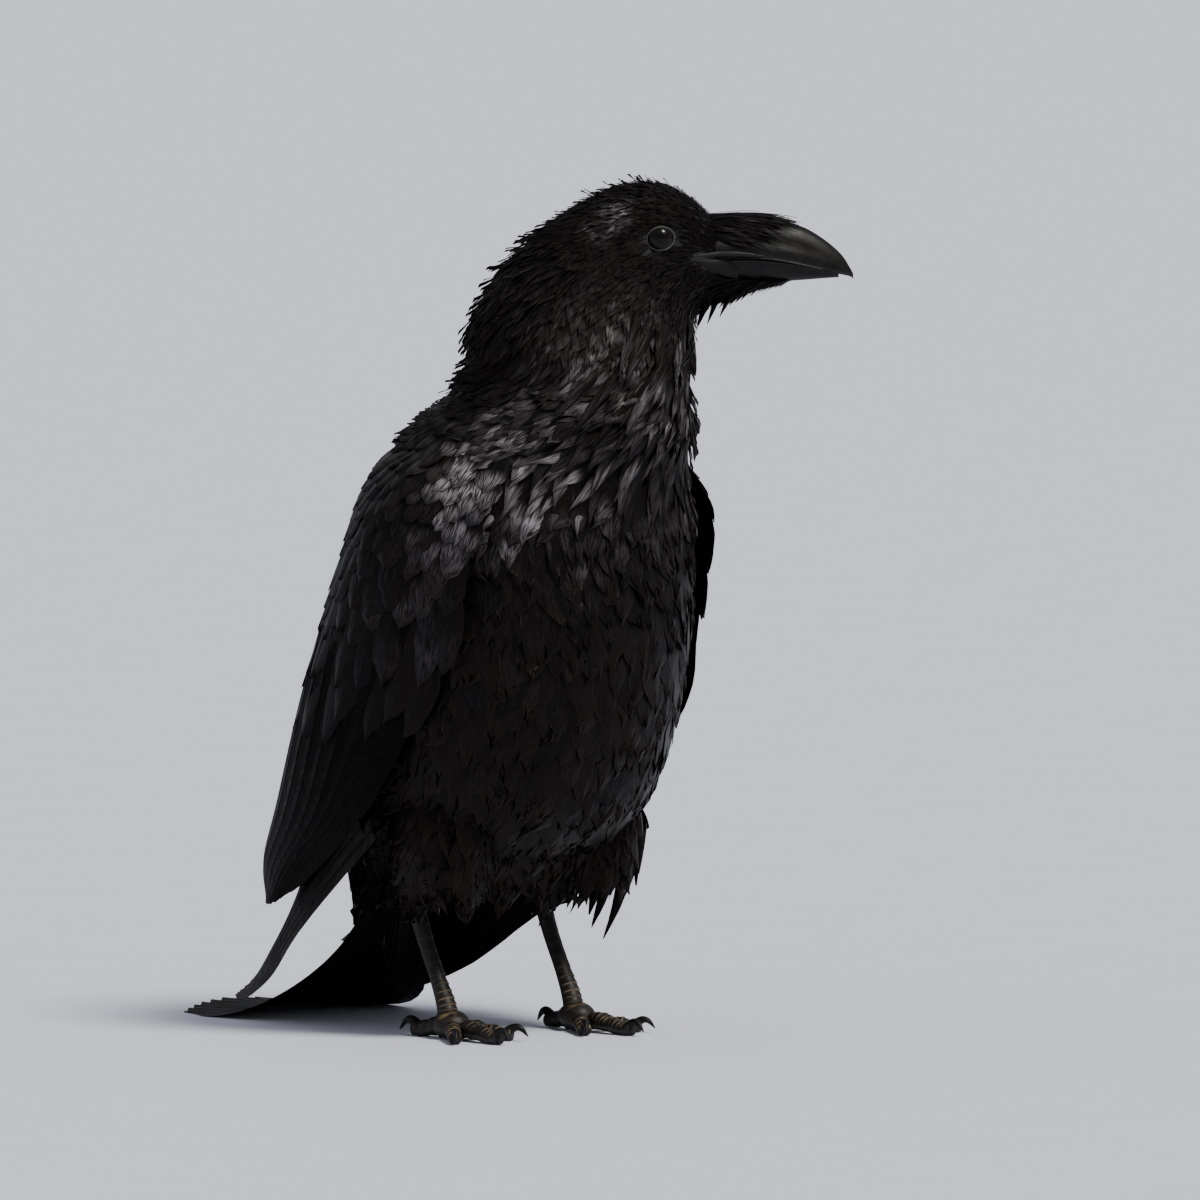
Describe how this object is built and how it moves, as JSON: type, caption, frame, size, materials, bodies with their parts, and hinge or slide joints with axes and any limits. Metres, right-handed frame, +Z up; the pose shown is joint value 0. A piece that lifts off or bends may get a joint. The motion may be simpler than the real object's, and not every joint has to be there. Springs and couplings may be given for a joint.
{
  "type": "raven model",
  "caption": "Still life-size raven standing upright on both feet, head turned to its left, wings folded and tail resting on the floor.",
  "frame": {"origin": "middle of the bounding box at floor level, under the bird", "axes": "+Z up, the breast faces -Y, the bird's left wing is towards +X"},
  "size_m": [0.2066, 0.3534, 0.4099],
  "materials": {
    "plumage": "black contour feathers with a faint blue sheen",
    "flight_feathers": "black wing and tail quills, brownish where worn",
    "bill_horn": "satin black horn",
    "leg_scales": "black-brown scutes with pale edges",
    "claw_horn": "smooth black horn",
    "eye": "wet, near-black brown"
  },
  "bodies": {
    "root": {"head": "plumage", "neck": "plumage", "trunk": "plumage", "wing_left": "plumage", "wing_right": "plumage", "thigh_left": "plumage", "thigh_right": "plumage", "secondaries_left": "flight_feathers", "secondaries_right": "flight_feathers", "primaries_left": "flight_feathers", "primaries_right": "flight_feathers", "tail": "flight_feathers", "eye_left": "eye", "eye_right": "eye", "bill_upper": "bill_horn", "bill_lower": "bill_horn", "tarsus_left": "leg_scales", "foot_left": "leg_scales", "toe_left_1": "leg_scales", "claw_left_1": "claw_horn", "toe_left_2": "leg_scales", "claw_left_2": "claw_horn", "toe_left_3": "leg_scales", "claw_left_3": "claw_horn", "toe_left_4": "leg_scales", "claw_left_4": "claw_horn", "tarsus_right": "leg_scales", "foot_right": "leg_scales", "toe_right_1": "leg_scales", "claw_right_1": "claw_horn", "toe_right_2": "leg_scales", "claw_right_2": "claw_horn", "toe_right_3": "leg_scales", "claw_right_3": "claw_horn", "toe_right_4": "leg_scales", "claw_right_4": "claw_horn"}
  },
  "joints": []
}
